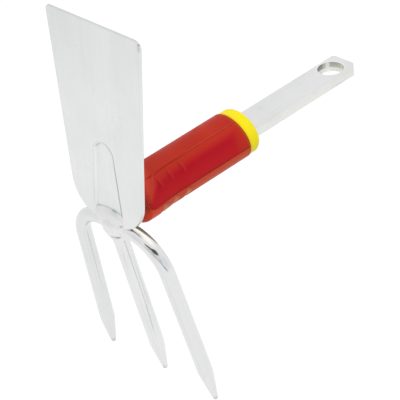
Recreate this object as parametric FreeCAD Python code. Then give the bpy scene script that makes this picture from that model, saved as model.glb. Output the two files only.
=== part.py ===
import FreeCAD, Part
import math
import os
from FreeCAD import Vector

# Click-in head of a double hoe: a flat hoe blade stands up, three round tines point down,
# and a flat tang runs back through a plastic grip sleeve into the handle's socket.
# X runs along the tang away from the head, Z is up to the blade's cutting edge, the head
# is symmetric about the XZ plane, and the origin is the centre of the tang's locking hole.
# All lengths are in mm and all angles in degrees.

# Tang: the flat bar that the handle locks on
tang_width = 21.0
tang_thickness = 8.0
tang_edge_share = 0.1
hole_diameter = 17.5
hole_to_tip = 13.6
hole_to_collar = 84.3
tip_chamfer_share = 0.11
hole_lip_share = 0.03

# Collar and grip sleeve
sleeve_diameter = 33.6
collar_length = 10.8
collar_diameter_share = 0.975
collar_round_share = 0.125
collar_rake = 10.0
sleeve_length = 89.2
sleeve_flare_share = 1.057
flare_start_share = 0.71
flare_full_share = 0.9
sleeve_round_share = 0.1
underside_groove_shares = (0.61, 0.73, 0.84)
underside_groove_radius_share = 0.16
underside_groove_depth_share = 0.05

# Panels let into the two sides of the sleeve
panel_depth_share = 0.09
panel_seam = 0.25
panel_bottom_share = -0.125
panel_dip_share = -0.225
panel_top_share = 0.88
panel_brow_share = 0.2
panel_shoulder_share = 0.866
panel_dip_end_share = 0.915
panel_rise_end_share = 0.84
panel_nose_share = 0.055
panel_front_share = 0.99

# Hoe blade
blade_width = 82.0
blade_foot_width = 61.2
blade_height = 130.0
blade_thickness = 2.5
blade_lean = 4.4
blade_foot_drop = 7.0
foot_corner_radius = 24.0
top_corner_radius = 3.8
bevel_height = 6.0
cutting_edge_share = 0.25

# Rib pressed into the middle of the blade
rib_half_width = 12.0
rib_top_radius = 8.3
rib_height = 48.8
rib_depth_share = 0.48
rib_wall_share = 0.09

# Tines: one rod bent to a bow, and a middle tine welded under it
rod_diameter = 10.0
bow_drop = 10.2
sleeve_to_bow = 14.3
bow_corner_radius = 27.5
bow_width = 73.3
tip_spread = 98.6
tine_reach = 139.0
bow_lean = 8.5
middle_lean = 9.3
point_length = 25.0
point_tip_share = 0.34
point_belly_share = 0.03

# Weld beads, as shares of the rod or the tang that they hold
front_weld_half_share = 0.95
front_weld_rise_share = 0.2
front_weld_bulge_share = 0.08
front_weld_round_share = 0.4
bar_weld_leg_share = 0.55
bar_weld_half_share = 0.43
tine_weld_radius_share = 0.86
tine_weld_length_share = 1.13
tine_weld_top_share = 0.3

# Places worked out from the sizes above
border_x = -hole_to_collar - collar_length
sleeve_radius = sleeve_diameter / 2
sleeve_end_x = border_x - sleeve_length
rod_radius = rod_diameter / 2
bow_x = sleeve_end_x - sleeve_to_bow
bow_centre = Vector(bow_x, 0, -bow_drop)
lean_sine = math.sin(math.radians(blade_lean))
lean_cosine = math.cos(math.radians(blade_lean))
blade_front_x = bow_x - (rod_radius - lean_sine * bow_drop) / lean_cosine
rib_depth = blade_thickness * rib_depth_share
rib_back = blade_thickness + rib_depth
beyond = 4 * sleeve_length
origin = Vector(0, 0, 0)
x_axis = Vector(1, 0, 0)
y_axis = Vector(0, 1, 0)


def prism(points, run):
    """A solid with a flat outline of points, drawn out along a vector."""
    return Part.Face(Part.makePolygon(points + [points[0]])).extrude(run)


def edges_along(shape, direction, test):
    """The straight edges of a shape that run along a direction and pass a test of their middle."""
    found = []
    for edge in shape.Edges:
        run = edge.Vertexes[-1].Point - edge.Vertexes[0].Point
        if run.Length > 0 and run.cross(direction).Length < 1e-4 * run.Length and test(edge.CenterOfMass):
            found.append(edge)
    return found


def stood_up(shape):
    """Moves a shape from the blade's own frame, front face on x = 0, to its leaning place."""
    shape.rotate(origin, y_axis, blade_lean)
    shape.translate(Vector(blade_front_x, 0, 0))
    return shape


def behind_rib(height):
    """The x of the rib's back face at a height."""
    return blade_front_x + (rib_back + lean_sine * height) / lean_cosine


def tongue_outline(half_width, radius, depth):
    """The rib's outline: straight sides that meet a round top, at a depth in the sheet."""
    centre = rib_height - rib_top_radius
    foot = -blade_foot_drop - blade_thickness
    turn = math.acos(radius / math.hypot(half_width, centre)) - math.atan2(centre, half_width)
    side = Vector(depth, radius * math.cos(turn), centre + radius * math.sin(turn))
    foot_half = half_width + (half_width - side.y) * -foot / side.z
    corner = Vector(depth, foot_half, foot)
    crown = Vector(depth, 0, centre + radius)
    other_side = Vector(depth, -side.y, side.z)
    other_corner = Vector(depth, -foot_half, foot)
    return Part.Wire([
        Part.makeLine(corner, side),
        Part.Arc(side, crown, other_side).toShape(),
        Part.makeLine(other_side, other_corner),
        Part.makeLine(other_corner, corner),
    ])


def rib_form(start, end, start_growth, end_growth):
    """The rib's tongue between two depths, with sloping walls."""
    first = tongue_outline(rib_half_width + start_growth, rib_top_radius + start_growth, start)
    last = tongue_outline(rib_half_width + end_growth, rib_top_radius + end_growth, end)
    return Part.makeLoft([first, last], True, True)


def make_hoe_blade(bow):
    """A leaning sheet, wider at its cutting edge, with the rib pressed out of its back."""
    foot_half = blade_foot_width / 2
    slope = (blade_width / 2 - foot_half) / blade_height
    bottom_half = foot_half - slope * blade_foot_drop
    outline = [
        Vector(0, blade_width / 2, blade_height),
        Vector(0, -blade_width / 2, blade_height),
        Vector(0, -bottom_half, -blade_foot_drop),
        Vector(0, bottom_half, -blade_foot_drop),
    ]
    blade = prism(outline, Vector(blade_thickness, 0, 0))
    middle = blade_height / 2
    blade = blade.makeFillet(foot_corner_radius, edges_along(blade, x_axis, lambda p: p.z < middle))
    blade = blade.makeFillet(top_corner_radius, edges_along(blade, x_axis, lambda p: p.z > middle))
    edge = blade_thickness * cutting_edge_share
    bevel = [
        Vector(blade_thickness, -beyond, blade_height - bevel_height),
        Vector(edge, -beyond, blade_height),
        Vector(edge, -beyond, beyond),
        Vector(beyond, -beyond, beyond),
        Vector(beyond, -beyond, blade_height - bevel_height),
    ]
    blade = blade.cut(prism(bevel, Vector(0, 2 * beyond, 0)))
    wall = rib_half_width * rib_wall_share
    boss = rib_form(blade_thickness, rib_back, wall, 0)
    above_foot = Part.makeBox(beyond, beyond, beyond, Vector(0, -beyond / 2, -blade_foot_drop))
    blade = blade.fuse(boss.common(above_foot)).removeSplitter()
    blade = blade.cut(rib_form(0, rib_depth, 0, -wall))
    return stood_up(blade).cut(bow)


def make_tang_bar():
    """The flat bar from the blade's rib, through the sleeve, to the tip with the locking hole."""
    start = bow_x - rod_diameter
    bar = Part.makeBox(
        hole_to_tip - start, tang_width, tang_thickness, Vector(start, -tang_width / 2, -tang_thickness / 2)
    )
    corners = edges_along(bar, Vector(0, 0, 1), lambda p: p.x > 0)
    bar = bar.makeChamfer(tang_width * tip_chamfer_share, corners)
    bar = bar.makeFillet(tang_thickness * tang_edge_share, edges_along(bar, x_axis, lambda p: True))
    ahead = Part.makeBox(beyond, beyond, beyond, Vector(rib_back - beyond, -beyond / 2, -beyond / 2))
    bar = bar.cut(stood_up(ahead))
    hole_radius = hole_diameter / 2
    lip = hole_diameter * hole_lip_share
    half = tang_thickness / 2
    bar = bar.cut(Part.makeCylinder(hole_radius, 2 * tang_thickness, Vector(0, 0, -tang_thickness)))
    bar = bar.cut(Part.makeCone(hole_radius, hole_radius + lip, lip, Vector(0, 0, half - lip)))
    return bar.cut(Part.makeCone(hole_radius + lip, hole_radius, lip, Vector(0, 0, -half)))


def headward(plane_x):
    """Everything on the head's side of a plane that leans with the collar's rake."""
    block = Part.makeBox(beyond, beyond, beyond, Vector(-beyond, -beyond / 2, -beyond / 2))
    block.rotate(origin, y_axis, -collar_rake)
    block.translate(Vector(plane_x, 0, 0))
    return block


def make_collar(bar):
    """The ring that ends the sleeve: both faces rake, and the outer edge is well rounded."""
    radius = sleeve_radius * collar_diameter_share
    ring = Part.makeCylinder(radius, beyond, Vector(border_x - beyond / 2, 0, 0), x_axis)
    ring = ring.common(headward(-hole_to_collar)).cut(headward(border_x))
    outer = max((e for e in ring.Edges if e.Length > radius), key=lambda e: e.CenterOfMass.x)
    return ring.makeFillet(sleeve_diameter * collar_round_share, [outer]).cut(bar)


def sleeve_body():
    """The sleeve as a turned solid: straight, flared towards the head, with a rounded end."""
    flare = sleeve_radius * sleeve_flare_share
    end_round = sleeve_diameter * sleeve_round_share
    flare_start = border_x - sleeve_length * flare_start_share
    flare_full = border_x - sleeve_length * flare_full_share
    halfway = Vector((flare_start + flare_full) / 2, 0, (sleeve_radius + flare) / 2)
    back = border_x + sleeve_radius
    start = Vector(flare_start, 0, sleeve_radius)
    full = Vector(flare_full, 0, flare)
    face_top = Vector(sleeve_end_x, 0, flare - end_round)
    shoulder = Vector(sleeve_end_x + end_round, 0, flare)
    corner = Vector(
        sleeve_end_x + end_round * (1 - math.sqrt(0.5)), 0, flare - end_round * (1 - math.sqrt(0.5))
    )
    tangent = Vector(1, 0, 0)
    sweep = Part.BSplineCurve()
    sweep.interpolate(Points=[start, halfway, full], InitialTangent=-tangent, FinalTangent=-tangent)
    profile = Part.Wire([
        Part.makeLine(Vector(back, 0, 0), Vector(back, 0, sleeve_radius)),
        Part.makeLine(Vector(back, 0, sleeve_radius), start),
        sweep.toShape(),
        Part.makeLine(full, shoulder),
        Part.Arc(shoulder, corner, face_top).toShape(),
        Part.makeLine(face_top, Vector(sleeve_end_x, 0, 0)),
        Part.makeLine(Vector(sleeve_end_x, 0, 0), Vector(back, 0, 0)),
    ])
    body = Part.Face(profile).revolve(origin, x_axis, 360)
    return body.common(headward(border_x))


def panel_block(inset):
    """The panel's outline as seen from the side, drawn out through the near half of the sleeve."""
    back = border_x + sleeve_radius
    front = border_x - sleeve_length * panel_front_share + inset
    top = sleeve_radius * panel_top_share - inset
    bottom = sleeve_radius * panel_bottom_share + inset
    dip = sleeve_radius * panel_dip_share + inset
    nose = sleeve_length * panel_nose_share
    nose_centre = Vector(front + nose, 0, dip + nose)
    shoulder = Vector(border_x - sleeve_length * panel_shoulder_share, 0, top)
    brow = Vector(front, 0, sleeve_radius * panel_brow_share - inset)
    dip_end = Vector(border_x - sleeve_length * panel_dip_end_share, 0, dip)
    rise_end = Vector(border_x - sleeve_length * panel_rise_end_share, 0, bottom)
    diagonal = Vector(-nose, 0, -nose) * math.sqrt(0.5)
    outline = Part.Wire([
        Part.makeLine(Vector(back, 0, bottom), rise_end),
        Part.makeLine(rise_end, dip_end),
        Part.makeLine(dip_end, nose_centre - Vector(0, 0, nose)),
        Part.Arc(nose_centre - Vector(0, 0, nose), nose_centre + diagonal, nose_centre - Vector(nose, 0, 0))
        .toShape(),
        Part.makeLine(nose_centre - Vector(nose, 0, 0), brow),
        Part.makeLine(brow, shoulder),
        Part.makeLine(shoulder, Vector(back, 0, top)),
        Part.makeLine(Vector(back, 0, top), Vector(back, 0, bottom)),
    ])
    return Part.Face(outline).extrude(Vector(0, -sleeve_diameter, 0))


def make_panels(body):
    """The two side panels and the pockets that they fill, one panel for each side."""
    floor = Part.makeCylinder(
        sleeve_radius * (1 - panel_depth_share), beyond, Vector(border_x - beyond / 2, 0, 0), x_axis
    )
    shell = body.cut(floor)
    near = shell.common(panel_block(panel_seam))
    pocket = shell.common(panel_block(0))
    far_panel = near.mirror(origin, y_axis)
    far_pocket = pocket.mirror(origin, y_axis)
    return [near, far_panel], [pocket, far_pocket]


def make_grip_sleeve(body, pockets, bar):
    """The sleeve with its pockets, the tang's way through it and the grooves under it."""
    sleeve = body
    for pocket in pockets:
        sleeve = sleeve.cut(pocket)
    groove_radius = sleeve_radius * underside_groove_radius_share
    flare = sleeve_radius * sleeve_flare_share
    below = Vector(border_x - beyond, -beyond / 2, sleeve_radius * panel_dip_share - beyond)
    below_panels = Part.makeBox(beyond, beyond, beyond, below)
    for share in underside_groove_shares:
        along = border_x - sleeve_length * share
        rise = (share - flare_start_share) / (flare_full_share - flare_start_share)
        surface = sleeve_radius + (flare - sleeve_radius) * min(1, max(0, rise))
        centre_radius = surface + groove_radius - sleeve_radius * underside_groove_depth_share
        ring = Part.makeTorus(centre_radius, groove_radius, Vector(along, 0, 0), x_axis)
        sleeve = sleeve.cut(ring.common(below_panels))
    return sleeve.cut(bar)


def pointed_end(start, direction):
    """A solid of revolution that draws a rod in to its blunt point."""
    tip = rod_radius * point_tip_share
    belly = (rod_radius + tip) / 2 + rod_radius * point_belly_share
    shoulder = Vector(rod_radius, 0, 0)
    profile = Part.Wire([
        Part.makeLine(origin, shoulder),
        Part.Arc(shoulder, Vector(belly, 0, point_length / 2), Vector(tip, 0, point_length - tip)).toShape(),
        Part.Arc(
            Vector(tip, 0, point_length - tip),
            Vector(tip * math.sqrt(0.5), 0, point_length - tip * (1 - math.sqrt(0.5))),
            Vector(0, 0, point_length),
        ).toShape(),
        Part.makeLine(Vector(0, 0, point_length), origin),
    ])
    point = Part.Face(profile).revolve(origin, Vector(0, 0, 1), 360)
    point.Placement = FreeCAD.Placement(start, FreeCAD.Rotation(Vector(0, 0, 1), direction))
    return point


def make_tine_bow():
    """One rod: two outer tines joined by a level bow, bent in a plane that leans to the handle."""
    reach = (tine_reach - bow_drop) / math.cos(math.radians(bow_lean))
    corner = Vector(0, bow_width / 2, 0)
    down = Vector(0, (tip_spread - bow_width) / 2, -reach)
    leg_length = down.Length
    down.normalize()
    turn = math.acos(down.y)
    setback = bow_corner_radius * math.tan(turn / 2)
    bend_start = corner - Vector(0, setback, 0)
    bend_end = corner + down * setback
    bend_centre = bend_start - Vector(0, 0, bow_corner_radius)
    half_turn = turn / 2
    bend_middle = bend_centre + Vector(0, math.sin(half_turn), math.cos(half_turn)) * bow_corner_radius
    leg_end = corner + down * (leg_length - point_length)

    def far_side(point):
        return Vector(0, -point.y, point.z)

    path = Part.Wire([
        Part.makeLine(leg_end, bend_end),
        Part.Arc(bend_end, bend_middle, bend_start).toShape(),
        Part.makeLine(bend_start, far_side(bend_start)),
        Part.Arc(far_side(bend_start), far_side(bend_middle), far_side(bend_end)).toShape(),
        Part.makeLine(far_side(bend_end), far_side(leg_end)),
    ])
    section = Part.Wire([Part.makeCircle(rod_radius, leg_end, down)])
    rod = path.makePipeShell([section], True, False)
    rod = rod.fuse([pointed_end(leg_end, down), pointed_end(far_side(leg_end), far_side(down))])
    rod = rod.removeSplitter()
    rod.rotate(origin, y_axis, -bow_lean)
    rod.translate(bow_centre)
    return rod


def middle_tine_axis():
    """The way that the middle tine points: down, and leaning to the handle."""
    lean = math.radians(middle_lean)
    return Vector(math.sin(lean), 0, -math.cos(lean))


def make_middle_tine(bow):
    """The straight tine, shaped at its top to the bow that it is welded under."""
    down = middle_tine_axis()
    length = (tine_reach - bow_drop) / -down.z
    shaft = Part.makeCylinder(rod_radius, length - point_length, bow_centre, down)
    tine = shaft.fuse(pointed_end(bow_centre + down * (length - point_length), down)).removeSplitter()
    tine = tine.cut(bow)
    return max(tine.Solids, key=lambda solid: solid.Volume)


def make_tine_weld(neighbours):
    """The bead round the top of the middle tine, drawn in from the bow to the tine."""
    wide = rod_diameter * tine_weld_radius_share
    length = rod_diameter * tine_weld_length_share
    top = rod_diameter * tine_weld_top_share
    crown = Vector(0, 0, top)
    widest = Vector(wide, 0, 0)
    root = Vector(rod_radius, 0, -length)
    lobe = Vector(wide * math.sqrt(0.5), 0, top * math.sqrt(0.5))
    belly = (widest + root) * 0.5 + Vector(rod_radius * point_belly_share, 0, 0)
    profile = Part.Wire([
        Part.Arc(crown, lobe, widest).toShape(),
        Part.Arc(widest, belly, root).toShape(),
        Part.makeLine(root, Vector(0, 0, -length)),
        Part.makeLine(Vector(0, 0, -length), crown),
    ])
    bead = Part.Face(profile).revolve(origin, Vector(0, 0, 1), 360)
    bead.Placement = FreeCAD.Placement(bow_centre, FreeCAD.Rotation(Vector(0, 0, -1), middle_tine_axis()))
    for neighbour in neighbours:
        bead = bead.cut(neighbour)
    return max(bead.Solids, key=lambda solid: solid.Volume)


def make_front_weld(bow, blade):
    """The bead with round corners in the rib's lower end and over the front of the bow."""
    half = rib_half_width * front_weld_half_share
    rise = rod_diameter * front_weld_rise_share
    bulge = rod_diameter * front_weld_bulge_share
    drop = bow_drop / lean_cosine
    section = Part.Wire([
        Part.makeLine(Vector(blade_thickness, -half, rise), Vector(0, -half, rise)),
        Part.Arc(
            Vector(0, -half, rise),
            Vector(-bulge, -half, (rise - drop) / 2),
            Vector(0, -half, -drop),
        ).toShape(),
        Part.makeLine(Vector(0, -half, -drop), Vector(blade_thickness, -half, -drop)),
        Part.makeLine(Vector(blade_thickness, -half, -drop), Vector(blade_thickness, -half, rise)),
    ])
    bead = Part.Face(section).extrude(Vector(0, 2 * half, 0))
    bead = bead.makeFillet(rod_diameter * front_weld_round_share, edges_along(bead, x_axis, lambda p: True))
    bead = stood_up(bead).cut(bow).cut(blade)
    return max(bead.Solids, key=lambda solid: solid.Volume)


def make_bar_top_weld(blade, bar):
    """The bead between the top of the tang bar and the back of the rib."""
    half = tang_width * bar_weld_half_share
    leg = tang_thickness * bar_weld_leg_share
    top = tang_thickness / 2
    section = [
        Vector(behind_rib(top), -half, top),
        Vector(behind_rib(top) + leg, -half, top),
        Vector(behind_rib(top + leg), -half, top + leg),
    ]
    return prism(section, Vector(0, 2 * half, 0)).cut(blade).cut(bar)


def make_bar_under_weld(blade, bar, bow, tine):
    """The bead that fills the gap between the tang bar, the foot of the blade and the bow."""
    half = tang_width * bar_weld_half_share
    under = -tang_thickness / 2
    section = [
        Vector(behind_rib(under), -half, under),
        Vector(behind_rib(-bow_drop), -half, -bow_drop),
        Vector(bow_x + rod_radius, -half, -bow_drop),
        Vector(bow_x + rod_diameter, -half, under),
    ]
    bead = prism(section, Vector(0, 2 * half, 0))
    for neighbour in (blade, bar, bow, tine):
        bead = bead.cut(neighbour)
    return max(bead.Solids, key=lambda solid: solid.Volume)


def build():
    """Every piece under its node's name."""
    bow = make_tine_bow()
    blade = make_hoe_blade(bow)
    bar = make_tang_bar()
    body = sleeve_body()
    panels, pockets = make_panels(body)
    middle_tine = make_middle_tine(bow)
    front_weld = make_front_weld(bow, blade)
    under_weld = make_bar_under_weld(blade, bar, bow, middle_tine)
    return {
        "tine_bow": bow,
        "hoe_blade": blade,
        "tang_bar": bar,
        "middle_tine": middle_tine,
        "grip_sleeve": make_grip_sleeve(body, pockets, bar),
        "grip_panel_near": panels[0],
        "grip_panel_far": panels[1],
        "collar": make_collar(bar),
        "front_weld": front_weld,
        "tine_weld": make_tine_weld([bow, middle_tine, blade, front_weld, under_weld]),
        "bar_top_weld": make_bar_top_weld(blade, bar),
        "bar_under_weld": under_weld,
    }


os.makedirs("parts", exist_ok=True)
for name, shape in build().items():
    shape.exportStep(f"parts/{name}.step")
    box = shape.BoundBox
    print(
        f"{name}: valid {shape.isValid()}, {len(shape.Solids)} solid, {shape.Volume:.0f} mm3,"
        f" X {box.XMin:.1f} to {box.XMax:.1f}, Y {box.YMin:.1f} to {box.YMax:.1f},"
        f" Z {box.ZMin:.1f} to {box.ZMax:.1f}"
    )
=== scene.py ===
import bpy
import math
from mathutils import Matrix, Vector


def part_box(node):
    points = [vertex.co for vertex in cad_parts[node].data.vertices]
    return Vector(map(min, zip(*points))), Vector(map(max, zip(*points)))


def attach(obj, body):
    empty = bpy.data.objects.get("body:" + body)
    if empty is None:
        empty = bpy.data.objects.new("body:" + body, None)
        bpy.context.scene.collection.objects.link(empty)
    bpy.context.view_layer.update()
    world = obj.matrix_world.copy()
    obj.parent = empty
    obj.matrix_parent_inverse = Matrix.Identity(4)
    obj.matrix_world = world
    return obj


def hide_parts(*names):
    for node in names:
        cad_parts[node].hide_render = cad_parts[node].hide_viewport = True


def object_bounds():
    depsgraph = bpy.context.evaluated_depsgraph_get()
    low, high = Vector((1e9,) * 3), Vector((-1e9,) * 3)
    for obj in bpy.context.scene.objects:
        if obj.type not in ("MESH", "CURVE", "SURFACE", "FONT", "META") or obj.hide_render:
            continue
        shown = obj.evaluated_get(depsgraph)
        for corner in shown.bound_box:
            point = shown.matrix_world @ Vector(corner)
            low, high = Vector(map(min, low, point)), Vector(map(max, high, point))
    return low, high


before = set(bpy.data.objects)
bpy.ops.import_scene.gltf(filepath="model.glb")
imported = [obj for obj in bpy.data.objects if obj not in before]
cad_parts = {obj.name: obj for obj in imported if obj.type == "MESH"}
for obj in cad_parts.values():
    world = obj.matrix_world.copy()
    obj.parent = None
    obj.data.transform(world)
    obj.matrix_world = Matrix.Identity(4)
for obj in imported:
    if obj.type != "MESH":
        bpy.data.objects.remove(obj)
cad_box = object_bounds()

MM = 0.001

# The camera, as it stood for the photograph
CAMERA_PLACE = Vector((-791.4, -786.4, 658.6)) * MM
CAMERA_AZIMUTH = math.radians(-40.12)
CAMERA_ELEVATION = math.radians(33.87)
CAMERA_ROLL = math.radians(7.74)
SENSOR_WIDTH = 36.0
FOCAL_LENGTH = 173.16
CLIP_START = 0.01
CLIP_END = 60.0

# The room
FLOOR_DROP = 160 * MM
FLOOR_HALF = 6.0
FLOOR_GREY = (0.5, 0.5, 0.5, 1.0)
FLOOR_GLOW = 0.55
ROOM_LIGHT = 0.85
WHITE = (1.0, 1.0, 1.0, 1.0)
LAMP_SIZE = 1.2
KEY_FROM_HEAD = Vector((-0.9, -0.5, 1.6))
KEY_POWER = 9
FILL_FROM_HEAD = Vector((0.8, -1.4, 0.5))
FILL_POWER = 4

# The round bars: one bent to a bow, one straight under its middle
ROD_RADIUS = 5.0 * MM
ROD_SIDES = 40
BOW_CENTRE = Vector((-198.6, 0, -10.2)) * MM
BOW_LEAN = math.radians(8.5)
BOW_WIDTH = 73.3 * MM
TIP_SPREAD = 98.6 * MM
BEND_RADIUS = 27.5 * MM
BEND_STEPS = 18
MIDDLE_LEAN = math.radians(9.3)
POINT_LENGTH = 25.0 * MM
POINT_TIP_SHARE = 0.34
POINT_BELLY_SHARE = 0.12
TAPER_STEPS = 10
TIP_STEPS = 4
TIP_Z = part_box("tine_bow")[0].z

# The weld beads, and the joint of bow, middle tine and blade
BEAD_VOXEL = 0.35 * MM
BEAD_SMOOTHING = 9
BEAD_GROWTH = 0.2 * MM
RIPPLE_HEIGHT = 0.35 * MM
UNEVEN_HEIGHT = 0.16 * MM
RIPPLE_SIZE = 2.2 * MM
JOINT_HALF_WIDTH = 14.5 * MM
JOINT_DEPTH = 19.0 * MM
JOINT_SMOOTHING = 18
JOINT_GROWTH = 0.1 * MM
JOINT_SINK = 0.35 * MM
JOINT_BLEND = 4.0 * MM
PILLOW_CENTRE = Vector((-201.5, 0, -3.2)) * MM
PILLOW_HALF = Vector((3.1, 16.4, 6.3)) * MM
SADDLE_CENTRE = Vector((-200.4, 0, -9.5)) * MM
SADDLE_HALF = Vector((6.2, 8.2, 7.0)) * MM
BALL_SEGMENTS = 48
BALL_RINGS = 24
BLADE_LEAN = math.radians(4.4)

# The blade's rib: a tongue with a round top, and the painted shade line at its foot
BLADE_FRONT_X = -202.83 * MM
RIB_RADIUS = 8.3 * MM
RIB_HALF_WIDTH = 12.0 * MM
RIB_HEIGHT = 40.5 * MM
RIM_OUT = 0.85 * MM
RIM_HALF = 0.75 * MM

# The sleeve's border with the collar, its three finger grooves, its panels' front end, and the tang's hole
BORDER_X = -95.1 * MM
GROOVES_X = (-149.5 * MM, -160.2 * MM, -170.0 * MM)
COLLAR_RAKE = math.radians(10)
PANEL_FRONT = -186.6 * MM
PANEL_FRONT_SLOPE = 0.965
HOLE_RADIUS = 8.75 * MM

# The half size of a bar's mark across the depth that its flat map hasn't got, in mm
ENDLESS = 1000

# How edges are found, doubles merged and faces smoothed
EDGE_SAMPLES = 6
MERGE_REACH = 0.002 * MM
SMOOTH_ANGLE = math.radians(35)


def set_camera():
    """Puts the camera at the photograph's place and angle."""
    data = bpy.data.cameras.new("camera")
    data.sensor_width = SENSOR_WIDTH
    data.lens = FOCAL_LENGTH
    data.clip_start = CLIP_START
    data.clip_end = CLIP_END
    camera = bpy.data.objects.new("camera", data)
    bpy.context.scene.collection.objects.link(camera)
    flat = math.cos(CAMERA_ELEVATION)
    back = Vector((
        math.sin(CAMERA_AZIMUTH) * flat,
        -math.cos(CAMERA_AZIMUTH) * flat,
        math.sin(CAMERA_ELEVATION),
    ))
    level = back.to_track_quat("Z", "Y")
    roll = Matrix.Rotation(-CAMERA_ROLL, 4, back)
    camera.matrix_world = Matrix.Translation(CAMERA_PLACE) @ roll @ level.to_matrix().to_4x4()
    bpy.context.scene.camera = camera


# Shader helpers

def feed(tree, socket, value):
    """Gives an input a value, or links another node's output to it."""
    if isinstance(value, bpy.types.NodeSocket):
        tree.links.new(value, socket)
    else:
        socket.default_value = value


def put(tree, kind, takes=None, **settings):
    """Adds a shader node with its settings and its inputs."""
    node = tree.nodes.new("ShaderNode" + kind)
    for name, value in settings.items():
        setattr(node, name, value)
    for name, value in (takes or {}).items():
        feed(tree, node.inputs[name], value)
    return node


def reckon(tree, operation, first, second=0.0, third=0.0):
    """One step of arithmetic on values that change over the surface."""
    return put(tree, "Math", {0: first, 1: second, 2: third}, operation=operation).outputs[0]


def spread(tree, value, low, high, to_low=0.0, to_high=1.0):
    """Takes a value smoothly from one range to another and holds it there."""
    takes = {"Value": value, "From Min": low, "From Max": high, "To Min": to_low, "To Max": to_high}
    return put(tree, "MapRange", takes, interpolation_type="SMOOTHSTEP").outputs[0]


def tint(tree, share, first, second):
    """Goes from one colour to another."""
    node = put(tree, "Mix", data_type="RGBA")
    feed(tree, node.inputs[0], share)
    for index, colour in ((6, first), (7, second)):
        feed(tree, node.inputs[index], (*colour, 1) if isinstance(colour, tuple) else colour)
    return node.outputs[2]


def noise(tree, places, scale, detail=2.0):
    """A noise value with so many cells to the metre."""
    return put(tree, "TexNoise", {"Vector": places, "Scale": scale, "Detail": detail}).outputs["Fac"]


def bump(tree, height, depth, normal):
    """A bump whose depth is a real length."""
    takes = {"Height": height, "Distance": depth, "Strength": 1.0, "Normal": normal}
    return put(tree, "Bump", takes).outputs[0]


def object_places(tree):
    """A surface place in the head's own frame, in metres."""
    return put(tree, "TexCoord").outputs["Object"]


def along(tree, places, axis):
    """One part of a vector: 0 is X, 1 is Y and 2 is Z."""
    return put(tree, "SeparateXYZ", {0: places}).outputs[axis]


def in_the_way_of(tree, vector, way):
    """How far a vector reaches in one direction."""
    return put(tree, "VectorMath", {0: vector, 1: way}, operation="DOT_PRODUCT").outputs["Value"]


def stretch(tree, vector, by):
    """A vector with each of its parts multiplied."""
    return put(tree, "VectorMath", {0: vector, 1: by}, operation="MULTIPLY").outputs[0]


def facing(tree, axis):
    """How far the bare face turns towards an axis."""
    return along(tree, put(tree, "NewGeometry").outputs["True Normal"], axis)


def size_of(tree, vector):
    """The length of a vector."""
    return put(tree, "VectorMath", {0: vector}, operation="LENGTH").outputs["Value"]


def behind_border(tree, places):
    """How far a place lies from the raked border of sleeve and collar, towards the tang."""
    distance = in_the_way_of(tree, places, (math.cos(COLLAR_RAKE), 0, math.sin(COLLAR_RAKE)))
    return reckon(tree, "SUBTRACT", distance, BORDER_X * math.cos(COLLAR_RAKE))


# Node groups that the materials share

def new_group(name, takes, gives):
    """An empty node group with named inputs and outputs."""
    tree = bpy.data.node_groups.new(name, "ShaderNodeTree")
    for label, kind, value in takes:
        socket = tree.interface.new_socket(label, in_out="INPUT", socket_type="NodeSocket" + kind)
        socket.default_value = value
    for label, kind in gives:
        tree.interface.new_socket(label, in_out="OUTPUT", socket_type="NodeSocket" + kind)
    return tree, tree.nodes.new("NodeGroupInput").outputs, tree.nodes.new("NodeGroupOutput").inputs


def use(tree, group, **takes):
    """Places a node group with its own values; an underscore in a name stands for a space."""
    node = put(tree, "Group", node_tree=group)
    for name, value in takes.items():
        feed(tree, node.inputs[name.replace("_", " ")], value)
    return node.outputs


def soft_edge_group():
    """Rounds every edge a little, and finds the edges."""
    tree, takes, gives = new_group(
        "soft edge", [("Radius", "Float", 0.3 * MM)], [("Normal", "Vector"), ("Edge", "Float")]
    )
    rounded = put(tree, "Bevel", {"Radius": takes["Radius"]}, samples=EDGE_SAMPLES).outputs[0]
    true = put(tree, "NewGeometry").outputs["Normal"]
    likeness = in_the_way_of(tree, rounded, true)
    tree.links.new(rounded, gives["Normal"])
    tree.links.new(spread(tree, likeness, 0.995, 0.85), gives["Edge"])
    return tree


def drawn_lines_group():
    """Fine drawn or rolled lines: noise that is long one way and narrow the other ways."""
    tree, takes, gives = new_group(
        "drawn lines",
        [("Vector", "Vector", (0, 0, 0)), ("Density", "Vector", (1, 1, 1))],
        [("Fine", "Float"), ("Broad", "Float")],
    )
    stretched = stretch(tree, takes["Vector"], takes["Density"])
    tree.links.new(noise(tree, stretched, 1.0, 3.0), gives["Fine"])
    tree.links.new(noise(tree, stretched, 0.2, 2.0), gives["Broad"])
    return tree


def handling_group():
    """Marks of handling: soft smudges, and short thin scratches that lie in patches."""
    tree, takes, gives = new_group(
        "handling",
        [("Vector", "Vector", (0, 0, 0)), ("Smudge scale", "Float", 30.0), ("Scratch scale", "Float", 60.0)],
        [("Smudge", "Float"), ("Scratch", "Float")],
    )
    smudge_and_shade = noise(tree, takes["Vector"], takes["Smudge scale"], 4.0)
    tree.links.new(spread(tree, smudge_and_shade, 0.46, 0.62), gives["Smudge"])
    lines = []
    for turn, scale in (((0.3, 0.5, 0.7), (26, 0.7, 26)), ((1.1, -0.4, 2.0), (0.8, 30, 30))):
        placing = {"Vector": takes["Vector"], "Rotation": turn, "Scale": scale}
        turned = put(tree, "Mapping", placing).outputs[0]
        lines.append(spread(tree, noise(tree, turned, takes["Scratch scale"], 1.0), 0.665, 0.70))
    patch = spread(tree, noise(tree, takes["Vector"], 45.0, 1.0), 0.45, 0.6)
    both = reckon(tree, "MAXIMUM", lines[0], lines[1])
    tree.links.new(reckon(tree, "MULTIPLY", both, patch), gives["Scratch"])
    return tree


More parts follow.
